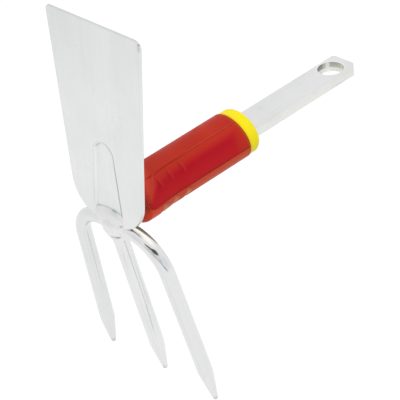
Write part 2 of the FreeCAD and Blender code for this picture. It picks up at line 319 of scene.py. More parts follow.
def streak_group():
    """One tapering streak: a soft ellipse, ragged along its rim."""
    tree, takes, gives = new_group(
        "streak",
        [
            ("Vector", "Vector", (0, 0, 0)),
            ("Centre", "Vector", (0, 0, 0)),
            ("Turn", "Vector", (0, 0, 0)),
            ("Half size", "Vector", (1, 1, 1)),
            ("Softness", "Float", 0.4),
            ("Ragged", "Float", 0.2),
        ],
        [("Mask", "Float")],
    )
    placing = {
        "Vector": takes["Vector"],
        "Location": takes["Centre"],
        "Rotation": takes["Turn"],
        "Scale": takes["Half size"],
    }
    placed = put(tree, "Mapping", placing, vector_type="TEXTURE").outputs[0]
    far = size_of(tree, placed)
    ripple = reckon(tree, "SUBTRACT", noise(tree, takes["Vector"], 420.0), 0.5)
    ragged = reckon(tree, "MULTIPLY_ADD", ripple, takes["Ragged"], far)
    inner = reckon(tree, "SUBTRACT", 1.0, takes["Softness"])
    tree.links.new(spread(tree, ragged, 1.0, inner), gives["Mask"])
    return tree


SOFT_EDGE = soft_edge_group()
DRAWN_LINES = drawn_lines_group()
HANDLING = handling_group()
STREAK = streak_group()


# Materials

def new_material(name):
    """A material, its tree and its shader."""
    material = bpy.data.materials.new(name)
    material.use_nodes = True
    return material, material.node_tree, material.node_tree.nodes["Principled BSDF"]


def set_finish(tree, shader, **takes):
    """Feeds the shader's sockets; an underscore in a name stands for a space."""
    for name, value in takes.items():
        feed(tree, shader.inputs[name.replace("_", " ")], value)


def mark(centre, half, paint, strength, soft, ragged, turn=(0, 0, 0)):
    """A soft ellipsoid of colour: centre and half size in mm, turn in degrees, and how its rim looks."""
    return centre, turn, half, soft, ragged, paint, strength


def bar_mark(place, half, paint, strength, soft, ragged, turn=0):
    """A mark on the flat map of a bar, in mm along and round it. The map has no depth."""
    return mark((*place, 0), (*half, ENDLESS), paint, strength, soft, ragged, (0, 0, turn))


def paint_marks(tree, places, colour, marks):
    """Paints marks over a colour, and gives their cover too."""
    cover = 0.0
    for centre, turn, half, softness, ragged, paint, strength in marks:
        mask = use(
            tree, STREAK, Vector=places,
            Centre=Vector(centre) * MM, Turn=[math.radians(angle) for angle in turn],
            Half_size=Vector(half) * MM, Softness=softness, Ragged=ragged,
        )["Mask"]
        mask = reckon(tree, "MULTIPLY", mask, strength)
        colour = tint(tree, mask, colour, paint)
        cover = reckon(tree, "MAXIMUM", cover, mask)
    return colour, cover


def weld_shade_marks(tree, places, colour):
    """Painted shade along the crease where the front weld meets the rib, soft painted shade round it, a faint
    pale line, and grey, beige and dark spots of painted shade and reflection near the joint.
    """
    smudge_and_shade, teal, pale, grey = (0.58, 0.63, 0.63), (0.36, 0.43, 0.43), (0.66, 0.69, 0.70), (0.62, 0.66, 0.68)
    violet, tan, dark, black = (0.42, 0.41, 0.46), (0.52, 0.52, 0.45), (0.26, 0.27, 0.26), (0.20, 0.20, 0.19)
    return paint_marks(tree, places, colour, (
        mark((-203.6, -5.4, 1.6), (6, 5.4, 2.2), smudge_and_shade, 0.75, turn=(8, 0, 0), soft=0.95, ragged=0.5),
        mark((-202.7, -4.8, 2.7), (2.5, 3.8, 0.5), teal, 0.85, turn=(8, 0, 0), soft=0.6, ragged=0.3),
        mark((-202.6, 1.8, 3.4), (2.5, 5.2, 0.25), pale, 0.5, turn=(6, 0, 0), soft=0.6, ragged=0.3),
        mark((-202.7, 9.0, 2.2), (2.5, 2.6, 0.9), grey, 0.5, turn=(30, 0, 0), soft=0.8, ragged=0.5),
        mark((-203.2, -11.4, -5.2), (6, 2.4, 1.3), violet, 0.8, turn=(-35, 0, 0), soft=0.8, ragged=0.3),
        mark((-203.6, -2.4, -16.2), (6, 3.4, 2.9), tan, 0.8, soft=0.9, ragged=0.4),
        mark((-202.3, -4.7, -16.9), (6, 2.2, 1.8), dark, 0.95, soft=0.95, ragged=0.4),
        mark((-201.1, -14.6, -6.0), (2.5, 1.3, 0.5), black, 0.8, turn=(-20, 0, 0), soft=0.8, ragged=0.4),
    ))[0]


def rib_foot_shade(tree, places):
    """Painted shade along the foot of the rib, where its wall is in shade: strong on its -Y side, faint over
    its top.
    """
    slant = math.atan2(RIB_HEIGHT, RIB_HALF_WIDTH)
    turn = math.acos(RIB_RADIUS / math.hypot(RIB_HALF_WIDTH, RIB_HEIGHT)) - slant
    up = (math.sin(BLADE_LEAN), 0, math.cos(BLADE_LEAN))
    base = BLADE_FRONT_X * math.sin(BLADE_LEAN)
    rise = reckon(tree, "SUBTRACT", in_the_way_of(tree, places, up), base + RIB_HEIGHT)
    across = along(tree, places, 1)
    spot = put(tree, "CombineXYZ", {0: reckon(tree, "ABSOLUTE", across), 1: rise}).outputs[0]
    out = in_the_way_of(tree, spot, (math.cos(turn), math.sin(turn), 0))
    over = reckon(tree, "MAXIMUM", in_the_way_of(tree, spot, (-math.sin(turn), math.cos(turn), 0)))
    far = size_of(tree, put(tree, "CombineXYZ", {0: out, 1: over}).outputs[0])
    beside = reckon(tree, "ABSOLUTE", reckon(tree, "SUBTRACT", far, RIB_RADIUS + RIM_OUT))
    line = spread(tree, beside, RIM_HALF, RIM_HALF * 0.2)
    side = spread(tree, across, 3 * MM, -6 * MM, 0.2, 1.0)
    lower = spread(tree, rise, 6 * MM, -14 * MM, 0.65, 1.0)
    front = spread(tree, facing(tree, 0), -0.2, -0.5)
    above_weld = spread(tree, along(tree, places, 2), 0.5 * MM, 2.5 * MM)
    for share in (side, lower, front, above_weld):
        line = reckon(tree, "MULTIPLY", line, share)
    return line


def blade_steel():
    """Bright zinc on pressed sheet: a cloudy plate, faint rolling lines, dull edges and a ground edge, with
    painted shade on its upper part, along the rib's foot and round the front weld.
    """
    material, tree, shader = new_material("blade steel")
    plate, cloudy, rolled = (0.770, 0.780, 0.774), (0.752, 0.761, 0.757), (0.70, 0.715, 0.715)
    dull_edge, upper, ground = (0.52, 0.54, 0.54), (0.695, 0.712, 0.706), (0.55, 0.56, 0.56)
    rib_shade, scratched = (0.38, 0.395, 0.395), (0.60, 0.62, 0.62)
    corner_dark, corner_grey = (0.30, 0.31, 0.31), (0.48, 0.49, 0.49)
    places = object_places(tree)
    edge = use(tree, SOFT_EDGE, Radius=0.5 * MM)
    lines = use(tree, DRAWN_LINES, Vector=places, Density=(900, 900, 14))
    marks = use(tree, HANDLING, Vector=places, Smudge_scale=24.0, Scratch_scale=70.0)
    cloud = spread(tree, noise(tree, places, 30.0, 3.0), 0.35, 0.68)
    colour = tint(tree, cloud, plate, cloudy)
    colour = tint(tree, spread(tree, lines["Fine"], 0.5, 0.8, 0.0, 0.4), colour, rolled)
    across = along(tree, places, 1)
    up = along(tree, places, 2)
    beside_rib = spread(tree, reckon(tree, "ABSOLUTE", across), 14 * MM, 16 * MM)
    off_rib = reckon(tree, "MAXIMUM", beside_rib, spread(tree, up, 50 * MM, 54 * MM))
    uneven = spread(tree, noise(tree, places, 150.0), 0.3, 0.7, 0.25, 0.7)
    dull = reckon(tree, "MULTIPLY", edge["Edge"], uneven)
    colour = tint(tree, reckon(tree, "MULTIPLY", dull, off_rib), colour, dull_edge)
    # Painted shade: the upper blade darker, most on its +Y side
    high = spread(tree, up, 62 * MM, 126 * MM, 0.0, 0.9)
    left = spread(tree, across, -50 * MM, 45 * MM, 0.15, 1.0)
    colour = tint(tree, reckon(tree, "MULTIPLY", high, left), colour, upper)
    colour = tint(tree, spread(tree, up, 127.8 * MM, 129.2 * MM, 0.0, 0.35), colour, ground)
    # Painted shade along the rib's foot
    colour = tint(tree, rib_foot_shade(tree, places), colour, rib_shade)
    colour = paint_marks(tree, places, colour, (
        mark((-192.3, -40.4, 126.9), (1.6, 1.6, 1.2), corner_dark, 0.8, soft=0.8, ragged=0.4),
        mark((-192.8, -40.3, 124.4), (1.3, 1.3, 3.0), corner_grey, 0.7, soft=0.8, ragged=0.4),
    ))[0]
    colour = tint(tree, reckon(tree, "MULTIPLY", marks["Scratch"], 0.3), colour, scratched)
    # Painted shade and reflections round the front weld
    colour = weld_shade_marks(tree, places, colour)
    under = spread(tree, facing(tree, 2), -0.2, -0.45)
    drawn = spread(tree, lines["Broad"], 0.3, 0.7, 0.24, 0.34)
    rough = reckon(tree, "MULTIPLY_ADD", marks["Smudge"], 0.10, drawn)
    height = reckon(tree, "MULTIPLY_ADD", lines["Fine"], 0.35, noise(tree, places, 60.0))
    set_finish(
        tree, shader, Base_Color=colour, Metallic=spread(tree, under, 0.0, 1.0, 1.0, 0.3), Roughness=rough,
        Normal=bump(tree, height, 0.03 * MM, edge["Normal"]),
    )
    return material


def hole_wall(tree, places):
    """The colour of the punched hole's wall: bright below, darker on one side, with olive patches and painted
    highlights towards its +X end and in a strip.
    """
    sheared, sheared_light, wall_dark_side = (0.41, 0.42, 0.38), (0.51, 0.51, 0.46), (0.22, 0.22, 0.20)
    olive, end_highlight, bright_low = (0.58, 0.55, 0.36), (0.78, 0.78, 0.74), (0.80, 0.80, 0.77)
    patch_light, patch_dark, strip_highlight = (0.66, 0.66, 0.46), (0.50, 0.50, 0.38), (0.82, 0.82, 0.79)
    angle = reckon(tree, "ARCTAN2", along(tree, places, 1), along(tree, places, 0))
    shear = use(tree, DRAWN_LINES, Vector=places, Density=(500, 500, 40))
    colour = tint(tree, spread(tree, shear["Fine"], 0.35, 0.65), sheared, sheared_light)
    dark = spread(tree, angle, math.radians(72), math.radians(92), 0.0, 0.7)
    colour = tint(tree, dark, colour, wall_dark_side)
    stained = spread(tree, angle, math.radians(20), math.radians(6), 0.0, 0.5)
    colour = tint(tree, stained, colour, olive)
    # Painted highlight on the wall towards the hole's +X end
    end = spread(tree, angle, 0.0, math.radians(-14), 0.0, 0.8)
    colour = tint(tree, end, colour, end_highlight)
    low = spread(tree, along(tree, places, 2), 0.3 * MM, -1.2 * MM, 0.0, 0.9)
    colour = tint(tree, low, colour, bright_low)
    colour = paint_marks(tree, places, colour, (
        mark((-2.0, 8.5, -0.6), (2.2, 1.6, 1.1), patch_light, 0.8, soft=0.7, ragged=0.4),
        mark((-0.8, 8.7, -3.0), (2.0, 1.6, 0.8), patch_dark, 0.7, soft=0.7, ragged=0.4),
    ))[0]
    # Painted highlight: a bright strip down the wall
    from_strip = reckon(tree, "ABSOLUTE", reckon(tree, "SUBTRACT", angle, math.radians(57)))
    strip = spread(tree, from_strip, math.radians(13), math.radians(4), 0.0, 0.8)
    return tint(tree, strip, colour, strip_highlight)


def tang_steel():
    """Zinc on flat bar: lines along the bar, duller sheared sides and a punched hole with a painted highlight
    on its lip.
    """
    material, tree, shader = new_material("tang steel")
    plate, cloudy, sheared = (0.765, 0.765, 0.770), (0.74, 0.745, 0.745), (0.765, 0.77, 0.745)
    drawn, worn_edge, scratched = (0.69, 0.70, 0.69), (0.66, 0.67, 0.65), (0.60, 0.61, 0.60)
    side_dark, side_grey, violet = (0.62, 0.63, 0.60), (0.66, 0.67, 0.64), (0.75, 0.74, 0.79)
    lip_highlight = (0.86, 0.86, 0.85)
    places = object_places(tree)
    edge = use(tree, SOFT_EDGE, Radius=0.7 * MM)
    lines = use(tree, DRAWN_LINES, Vector=places, Density=(10, 1100, 1100))
    marks = use(tree, HANDLING, Vector=places, Smudge_scale=36.0, Scratch_scale=70.0)
    side = spread(tree, reckon(tree, "ABSOLUTE", facing(tree, 1)), 0.4, 0.8)
    cloud = spread(tree, noise(tree, places, 40.0, 3.0), 0.35, 0.68)
    colour = tint(tree, cloud, plate, cloudy)
    colour = tint(tree, side, colour, sheared)
    colour = tint(tree, spread(tree, lines["Fine"], 0.5, 0.8, 0.0, 0.4), colour, drawn)
    colour = tint(tree, reckon(tree, "MULTIPLY", edge["Edge"], 0.35), colour, worn_edge)
    colour = tint(tree, reckon(tree, "MULTIPLY", marks["Scratch"], 0.5), colour, scratched)
    colour = paint_marks(tree, places, colour, (
        mark((-3.5, -10.5, -3.4), (6.0, 2, 1.4), side_dark, 0.55, soft=0.8, ragged=0.5),
        mark((-27.0, -10.5, 2.0), (4.0, 2, 1.4), side_grey, 0.5, soft=0.8, ragged=0.5),
        mark((-17.0, -3.0, 4.0), (7.0, 3.5, 2), violet, 0.6, turn=(0, 0, 20), soft=0.9, ragged=0.3),
    ))[0]
    out = size_of(tree, stretch(tree, places, (1, 1, 0)))
    # Painted highlight: a light ring on the lip round the hole
    lip = spread(tree, out, HOLE_RADIUS + 1.3 * MM, HOLE_RADIUS + 0.7 * MM, 0.0, 0.7)
    colour = tint(tree, lip, colour, lip_highlight)
    upright = spread(tree, reckon(tree, "ABSOLUTE", facing(tree, 2)), 0.5, 0.3)
    near = spread(tree, out, HOLE_RADIUS + 0.6 * MM, HOLE_RADIUS + 0.3 * MM)
    wall = reckon(tree, "MULTIPLY", near, upright)
    colour = tint(tree, wall, colour, hole_wall(tree, places))
    base_rough = spread(tree, lines["Broad"], 0.3, 0.7, 0.22, 0.32)
    rough = reckon(tree, "MULTIPLY_ADD", marks["Smudge"], 0.10, base_rough)
    rough = reckon(tree, "MULTIPLY_ADD", reckon(tree, "MAXIMUM", side, wall), 0.12, rough)
    height = reckon(tree, "MULTIPLY_ADD", lines["Fine"], 0.4, noise(tree, places, 70.0))
    set_finish(
        tree, shader, Base_Color=colour, Metallic=1.0, Roughness=rough,
        Normal=bump(tree, height, 0.03 * MM, edge["Normal"]),
    )
    return material


def shoulder_reflections(tree, places, colour):
    """Painted reflections, highlights and shade on one shoulder of the bow, placed along and round the bar.
    """
    violet, blue, cream = (0.60, 0.62, 0.67), (0.60, 0.665, 0.73), (1.0, 0.965, 0.90)
    warm_grey, line_grey, pale_line = (0.42, 0.40, 0.37), (0.34, 0.36, 0.37), (0.42, 0.44, 0.44)
    upper_line, blue_line, deep_line = (0.44, 0.43, 0.41), (0.33, 0.37, 0.40), (0.28, 0.32, 0.35)
    brown, umber = (0.150, 0.132, 0.102), (0.15, 0.135, 0.10)
    dark_reflection, black = (0.06, 0.06, 0.055), (0.045, 0.05, 0.05)
    colour = paint_marks(tree, places, colour, (
        bar_mark((-21.5, -4.6), (8.0, 1.8), violet, 0.7, soft=0.9, ragged=0.2),
        bar_mark((-41.5, -0.5), (6.0, 1.9), blue, 0.75, turn=-4, soft=0.9, ragged=0.2),
        bar_mark((-24.0, -0.2), (11.5, 2.2), cream, 1.0, turn=-3, soft=0.65, ragged=0.3),
        bar_mark((-31.0, 4.9), (7.0, 1.0), warm_grey, 0.6, turn=-4, soft=0.6, ragged=0.2),
        bar_mark((-37.0, -3.3), (10.5, 0.45), line_grey, 0.8, turn=-5, soft=0.5, ragged=0.6),
        bar_mark((-33.0, -4.5), (8.0, 0.4), pale_line, 0.7, turn=-5, soft=0.6, ragged=0.8),
        bar_mark((-39.0, 4.4), (9.0, 0.7), upper_line, 0.6, turn=-2, soft=0.6, ragged=0.3),
        bar_mark((-40.3, -2.2), (3.6, 0.36), blue_line, 0.8, turn=3, soft=0.6, ragged=0.4),
        bar_mark((-45.0, -2.2), (2.8, 0.5), deep_line, 0.85, turn=-11, soft=0.6, ragged=0.4),
    ))[0]
    return paint_marks(tree, places, colour, (
        bar_mark((-21.5, 4.05), (12.8, 3.0), brown, 0.96, turn=-8, soft=0.15, ragged=0.1),
        bar_mark((-20.0, -1.9), (5.8, 0.42), umber, 0.9, turn=1, soft=0.5, ragged=0.3),
        bar_mark((-16.8, -1.85), (2.3, 0.6), dark_reflection, 0.9, soft=0.6, ragged=0.3),
        bar_mark((-32.3, -2.6), (5.8, 0.55), black, 0.95, turn=-9, soft=0.35, ragged=0.35),
        bar_mark((-34.3, -2.0), (3.0, 1.2), black, 0.97, turn=-12, soft=0.35, ragged=0.5),
    ))


def tine_lines(tree, places, colour):
    """Painted shade on one side of the middle tine, and painted reflection lines down it."""
    side_grey, dark_line, pale_line = (0.70, 0.705, 0.71), (0.46, 0.48, 0.48), (0.52, 0.54, 0.54)
    return paint_marks(tree, places, colour, (
        bar_mark((56.0, -9.4), (50.0, 2.2), side_grey, 0.7, soft=0.9, ragged=0.2),
        bar_mark((80.0, -5.8), (24.0, 0.5), dark_line, 0.7, turn=1.3, soft=0.8, ragged=0.6),
        bar_mark((50.0, -8.3), (32.0, 0.5), pale_line, 0.7, turn=0.4, soft=0.8, ragged=0.6),
        bar_mark((25.0, -2.9), (13.0, 0.5), pale_line, 0.6, turn=1.5, soft=0.8, ragged=0.6),
    ))[0]


def rod_steel():
    """Bright zinc on drawn bar: lines along the bar, worn tips, heat tint near the welds, and painted shade,
    reflections and highlights.
    """
    material, tree, shader = new_material("rod steel")
    bright, cloudy, far_leg_shade = (0.752, 0.754, 0.756), (0.728, 0.732, 0.735), (0.700, 0.705, 0.710)
    middle_tone, worn_tip, drawn = (0.765, 0.767, 0.768), (0.52, 0.515, 0.50), (0.64, 0.65, 0.65)
    scratched, heated = (0.60, 0.61, 0.61), (0.72, 0.71, 0.735)
    on_bar = put(tree, "UVMap", uv_map="bar").outputs[0]
    places = object_places(tree)
    edge = use(tree, SOFT_EDGE, Radius=0.3 * MM)
    lines = use(tree, DRAWN_LINES, Vector=on_bar, Density=(5, 1100, 1))
    marks = use(tree, HANDLING, Vector=places, Smudge_scale=40.0, Scratch_scale=70.0)
    cloud = spread(tree, noise(tree, places, 30.0, 2.0), 0.35, 0.68)
    colour = tint(tree, cloud, bright, cloudy)
    across = along(tree, places, 1)
    up = along(tree, places, 2)
    # Painted shade on the bars' +Y side
    colour = tint(tree, spread(tree, across, 15 * MM, 30 * MM, 0.0, 0.6), colour, far_leg_shade)
    below_weld = spread(tree, up, -16 * MM, -24 * MM)
    near_middle = spread(tree, reckon(tree, "ABSOLUTE", across), 10 * MM, 7 * MM)
    middle = reckon(tree, "MULTIPLY", near_middle, below_weld)
    colour = tint(tree, reckon(tree, "MULTIPLY", middle, 0.7), colour, middle_tone)
    # Painted shade and reflection lines on the middle tine
    colour = tint(tree, middle, colour, tine_lines(tree, on_bar, colour))
    from_tip = reckon(tree, "SUBTRACT", up, TIP_Z)
    worn = spread(tree, noise(tree, places, 260.0, 2.0), 0.4, 0.62, 0.25, 0.85)
    worn = reckon(tree, "MULTIPLY", worn, spread(tree, from_tip, 6 * MM, 1.5 * MM))
    colour = tint(tree, worn, colour, worn_tip)
    colour = tint(tree, spread(tree, lines["Fine"], 0.5, 0.72, 0.0, 0.6), colour, drawn)
    colour = tint(tree, reckon(tree, "MULTIPLY", marks["Scratch"], 0.35), colour, scratched)
    from_weld = reckon(tree, "ABSOLUTE", along(tree, on_bar, 0))
    warmth = spread(tree, from_weld, 20 * MM, 12 * MM, 0.0, 0.3)
    colour = tint(tree, warmth, colour, heated)
    # Painted reflections and highlights on the bow's shoulder; the cover of its dark reflections also makes
    # that place rougher and less metallic
    colour, scale = shoulder_reflections(tree, on_bar, colour)
    base_rough = spread(tree, lines["Broad"], 0.3, 0.7, 0.14, 0.22)
    rough = reckon(tree, "MULTIPLY_ADD", marks["Smudge"], 0.08, base_rough)
    rough = reckon(tree, "MULTIPLY_ADD", scale, 0.35, rough)
    height = reckon(tree, "MULTIPLY_ADD", lines["Fine"], 0.5, noise(tree, places, 60.0))
    set_finish(
        tree, shader, Base_Color=colour, Metallic=reckon(tree, "SUBTRACT", 1.0, scale), Roughness=rough,
        Normal=bump(tree, height, 0.015 * MM, edge["Normal"]),
    )
    return material


def weld_steel():
    """Plated weld metal: uneven, with faint cloudy lines and a few specks of scale."""
    material, tree, shader = new_material("weld bead")
    bright, cloudy, below = (0.735, 0.735, 0.738), (0.695, 0.690, 0.705), (0.80, 0.795, 0.80)
    streaked, scale_speck = (0.64, 0.65, 0.65), (0.48, 0.47, 0.44)
    places = object_places(tree)
    grain = noise(tree, places, 700.0, 3.0)
    cloud = spread(tree, noise(tree, places, 130.0, 3.0), 0.4, 0.66)
    colour = tint(tree, cloud, bright, cloudy)
    low = spread(tree, along(tree, places, 2), -4 * MM, -12 * MM, 0.0, 0.75)
    colour = tint(tree, low, colour, below)
    streaks = use(tree, DRAWN_LINES, Vector=places, Density=(500, 60, 500))["Fine"]
    colour = tint(tree, spread(tree, streaks, 0.5, 0.72, 0.0, 0.25), colour, streaked)
    speck = spread(tree, noise(tree, places, 420.0, 1.0), 0.72, 0.78, 0.0, 0.25)
    colour = tint(tree, speck, colour, scale_speck)
    rough = spread(tree, grain, 0.3, 0.7, 0.24, 0.36)
    # The base colour carries painted shade and reflections round the front weld
    set_finish(
        tree, shader, Base_Color=weld_shade_marks(tree, places, colour), Metallic=1.0, Roughness=rough,
        Normal=bump(tree, grain, 0.008 * MM, put(tree, "NewGeometry").outputs["Normal"]),
    )
    return material


def moulded(name, light, dark, rough_range, grain_scale, grain_depth, specular):
    """Moulded plastic: a slow drift of colour, a fine grain, soft edges and a dark joint at the collar."""
    material, tree, shader = new_material(name)
    places = object_places(tree)
    edge = use(tree, SOFT_EDGE, Radius=0.6 * MM)
    marks = use(tree, HANDLING, Vector=places, Smudge_scale=45.0, Scratch_scale=80.0)
    drift = spread(tree, noise(tree, places, 28.0, 2.0), 0.35, 0.65)
    colour = tint(tree, drift, light, dark)
    grain = noise(tree, places, grain_scale, 2.0)
    rough = spread(tree, marks["Smudge"], 0.0, 1.0, *rough_range)
    rough = reckon(tree, "MULTIPLY_ADD", marks["Scratch"], 0.12, rough)
    seam = spread(tree, reckon(tree, "ABSOLUTE", behind_border(tree, places)), 0.85 * MM, 0.3 * MM, 0.0, 0.9)
    set_finish(
        tree, shader, Roughness=rough, Specular_IOR_Level=specular,
        Normal=bump(tree, grain, grain_depth, edge["Normal"]),
    )
    return material, tree, shader, places, colour, edge["Edge"], seam


def near_grooves(tree, places, offset, reach):
    """How near a place is to one of three lines, each so far behind the middle of a finger groove."""
    nearest = 0.0
    for groove in GROOVES_X:
        gap = reckon(tree, "SUBTRACT", along(tree, places, 0), groove + offset)
        near = spread(tree, reckon(tree, "ABSOLUTE", gap), reach, reach * 0.3)
        nearest = reckon(tree, "MAXIMUM", nearest, near)
    return nearest


def behind_front(tree, places):
    """How far a place lies behind the sloping front end of a panel; less than nothing is nearer the blade."""
    distance = in_the_way_of(tree, places, (1, 0, -PANEL_FRONT_SLOPE))
    return reckon(tree, "SUBTRACT", distance, PANEL_FRONT)


def paint_seam(tree, places, colour, edge):
    """Paints highlights on the edges of the seam of sleeve and panel at its front and at the rear of its top,
    and darkens it below.
    """
    seam_highlight, dark_line = (0.84, 0.14, 0.075), (0.20, 0.010, 0.007)
    x = along(tree, places, 0)
    up = along(tree, places, 2)
    front = spread(tree, x, -168 * MM, -174 * MM)
    rear = spread(tree, x, -160 * MM, -125 * MM)
    top = reckon(tree, "MULTIPLY", rear, spread(tree, up, 8 * MM, 12 * MM))
    strength = spread(tree, reckon(tree, "MAXIMUM", front, top), 0.0, 1.0, 0.2, 0.85)
    # Painted highlight on the seam's edges, strongest at the front and at the rear of the top
    colour = tint(tree, reckon(tree, "MULTIPLY", edge, strength), colour, seam_highlight)
    below = spread(tree, up, 1.0 * MM, -1.0 * MM)
    low = reckon(tree, "MULTIPLY", below, spread(tree, x, -177 * MM, -172 * MM))
    return tint(tree, reckon(tree, "MULTIPLY", edge, low), colour, dark_line)


def paint_border(tree, places, colour, seam):
    """Turns the sleeve to orange brown towards the collar, and darkens the joint between them."""
    orange_brown, joint_brown = (0.45, 0.105, 0.002), (0.31, 0.068, 0.002)
    close = spread(tree, behind_border(tree, places), -2.2 * MM, -0.5 * MM, 0.0, 0.5)
    colour = tint(tree, close, colour, orange_brown)
    return tint(tree, seam, colour, joint_brown)


def red_plastic():
    """The sleeve: red, orange under it with painted sheen, painted light by the blade, and painted highlights
    and shade on the finger grooves.
    """
    material, tree, shader, places, colour, edge, seam = moulded(
        "red plastic", light=(0.515, 0.034, 0.017), dark=(0.475, 0.027, 0.015), rough_range=(0.42, 0.55),
        grain_scale=1500.0, grain_depth=0.015 * MM, specular=0.06,
    )
    orange, flare_light, foot_light = (0.63, 0.074, 0.026), (0.62, 0.057, 0.032), (0.80, 0.068, 0.032)
    seam_red, groove_highlight, dip_shade = (0.27, 0.014, 0.008), (0.88, 0.36, 0.20), (0.30, 0.05, 0.02)
    up = along(tree, places, 2)
    # Orange under the sleeve and a little on its flared end: partly the sleeve's own colour, partly painted
    # sheen
    flare = spread(tree, along(tree, places, 0), -168 * MM, -181 * MM)
    under = spread(tree, up, 0.0, -5 * MM)
    warm = reckon(tree, "MAXIMUM", under, reckon(tree, "MULTIPLY", flare, 0.25))
    colour = tint(tree, reckon(tree, "MULTIPLY", warm, 0.95), colour, orange)
    # Painted light: the flared end lighter towards the blade's edge, and on its lower part, where the blade's
    # shadow falls
    by_blade = spread(tree, behind_front(tree, places), 0.5 * MM, -5.5 * MM)
    colour = tint(tree, by_blade, colour, flare_light)
    foot = reckon(tree, "MULTIPLY", flare, spread(tree, up, -1 * MM, -6 * MM, 0.0, 0.8))
    colour = tint(tree, foot, colour, foot_light)
    colour = paint_marks(tree, places, colour, [
        mark((-174.8, side * 9.2, 14.9), (4.2, 2.4, 0.5), seam_red, 0.75, soft=0.6, ragged=0.2)
        for side in (-1, 1)
    ])[0]
    colour = paint_seam(tree, places, colour, edge)
    # Painted highlights on the finger grooves' edges and painted shade in their dips, low on the sleeve
    low = spread(tree, up, -4 * MM, -9 * MM)
    glint = reckon(tree, "MULTIPLY", near_grooves(tree, places, 1.2 * MM, 2.2 * MM), low)
    colour = tint(tree, reckon(tree, "MULTIPLY", glint, 0.65), colour, groove_highlight)
    dip = reckon(tree, "MULTIPLY", near_grooves(tree, places, 3.2 * MM, 1.3 * MM), low)
    colour = tint(tree, reckon(tree, "MULTIPLY", dip, 0.5), colour, dip_shade)
    set_finish(tree, shader, Base_Color=paint_border(tree, places, colour, seam))
    return material


def panel_plastic():
    """The soft panels: crimson, warmer towards the collar and along their upper rims with painted sheen,
    painted light at their front ends, and painted shade and highlights for the upper ends of the finger
    grooves.
    """
    material, tree, shader, places, colour, edge, seam = moulded(
        "panel plastic", light=(0.455, 0.0085, 0.017), dark=(0.425, 0.007, 0.015), rough_range=(0.5, 0.62),
        grain_scale=2600.0, grain_depth=0.02 * MM, specular=0.05,
    )
    bright_low, warm_rim, front_light = (0.53, 0.015, 0.020), (0.52, 0.036, 0.017), (0.58, 0.027, 0.026)
    groove_shade, ridge_highlight = (0.27, 0.006, 0.010), (0.56, 0.045, 0.035)
    up = along(tree, places, 2)
    rim = spread(tree, up, 9 * MM, 14 * MM)
    back = spread(tree, along(tree, places, 0), -110 * MM, -99 * MM, 0.0, 0.9)
    low = spread(tree, up, 10 * MM, 1 * MM, 0.0, 0.8)
    colour = tint(tree, low, colour, bright_low)
    # Warmer towards the collar, and along the upper rim with painted sheen
    warm = reckon(tree, "MAXIMUM", rim, back)
    colour = tint(tree, reckon(tree, "MULTIPLY", warm, 0.75), colour, warm_rim)
    # Painted light on the panel's front end, as on the sleeve by the blade
    front = spread(tree, behind_front(tree, places), 5.0 * MM, 0.0, 0.0, 0.9)
    colour = tint(tree, front, colour, front_light)
    # Painted shade in the upper ends of the finger grooves and painted highlights on the ridges beside them
    high = reckon(tree, "MULTIPLY", spread(tree, up, 6 * MM, 10 * MM), spread(tree, up, 14.5 * MM, 12 * MM))
    groove = reckon(tree, "MULTIPLY", near_grooves(tree, places, -2.0 * MM, 1.3 * MM), high)
    ridge = reckon(tree, "MULTIPLY", near_grooves(tree, places, 0.3 * MM, 1.4 * MM), high)
    colour = tint(tree, reckon(tree, "MULTIPLY", groove, 0.38), colour, groove_shade)
    colour = tint(tree, reckon(tree, "MULTIPLY", ridge, 0.25), colour, ridge_highlight)
    colour = paint_seam(tree, places, colour, edge)
    set_finish(tree, shader, Base_Color=paint_border(tree, places, colour, seam))
    return material


def yellow_plastic():
    """The collar: yellow, warmer at its border with the sleeve."""
    material, tree, shader, places, colour, _, seam = moulded(
        "yellow plastic", light=(0.94, 0.82, 0.011), dark=(0.92, 0.78, 0.010), rough_range=(0.34, 0.46),
        grain_scale=1500.0, grain_depth=0.012 * MM, specular=0.1,
    )
    amber, joint_brown = (0.92, 0.52, 0.012), (0.36, 0.09, 0.002)
    warm = spread(tree, behind_border(tree, places), 2.6 * MM, 0.6 * MM, 0.0, 0.8)
    colour = tint(tree, warm, colour, amber)
    set_finish(tree, shader, Base_Color=tint(tree, seam, colour, joint_brown))
    return material


# The room

def seen_white(tree):
    """1 for the rays of the camera and of bright metal, else 0."""
    path = put(tree, "LightPath").outputs
    return reckon(tree, "MAXIMUM", path["Is Camera Ray"], path["Is Glossy Ray"])


def white_surround(material, lit, glow_strength):
    """A matt surface that the camera and the metal see as white, and that keeps its shadow."""
    tree = material.node_tree
    tree.nodes.clear()
    glow_share = reckon(tree, "MULTIPLY", seen_white(tree), glow_strength)
    glow = put(tree, "Emission", {"Color": WHITE, "Strength": glow_share})
    matt = put(tree, "BsdfDiffuse", {"Color": lit})
    both = put(tree, "AddShader", {0: matt.outputs[0], 1: glow.outputs[0]})
    put(tree, "OutputMaterial", {"Surface": both.outputs[0]})


def make_floor():
    """A plain pale floor below the head."""
    low = cad_box[0].z - FLOOR_DROP
    bpy.ops.mesh.primitive_plane_add(size=2 * FLOOR_HALF, location=(0, 0, low))
    floor = bpy.context.object
    floor.name = "floor"
    material = bpy.data.materials.new("pale floor")
    material.use_nodes = True
    white_surround(material, FLOOR_GREY, FLOOR_GLOW)
    floor.data.materials.append(material)


def add_soft_lamp(name, place, target, power):
    """A square soft box that looks at a point and leaves no glare on the metal."""
    data = bpy.data.lights.new(name, "AREA")
    data.shape = "SQUARE"
    data.size = LAMP_SIZE
    data.energy = power
    lamp = bpy.data.objects.new(name, data)
    bpy.context.scene.collection.objects.link(lamp)
    lamp.location = place
    lamp.rotation_mode = "QUATERNION"
    lamp.rotation_quaternion = (Vector(place) - Vector(target)).to_track_quat("Z", "Y")
    lamp.visible_glossy = False


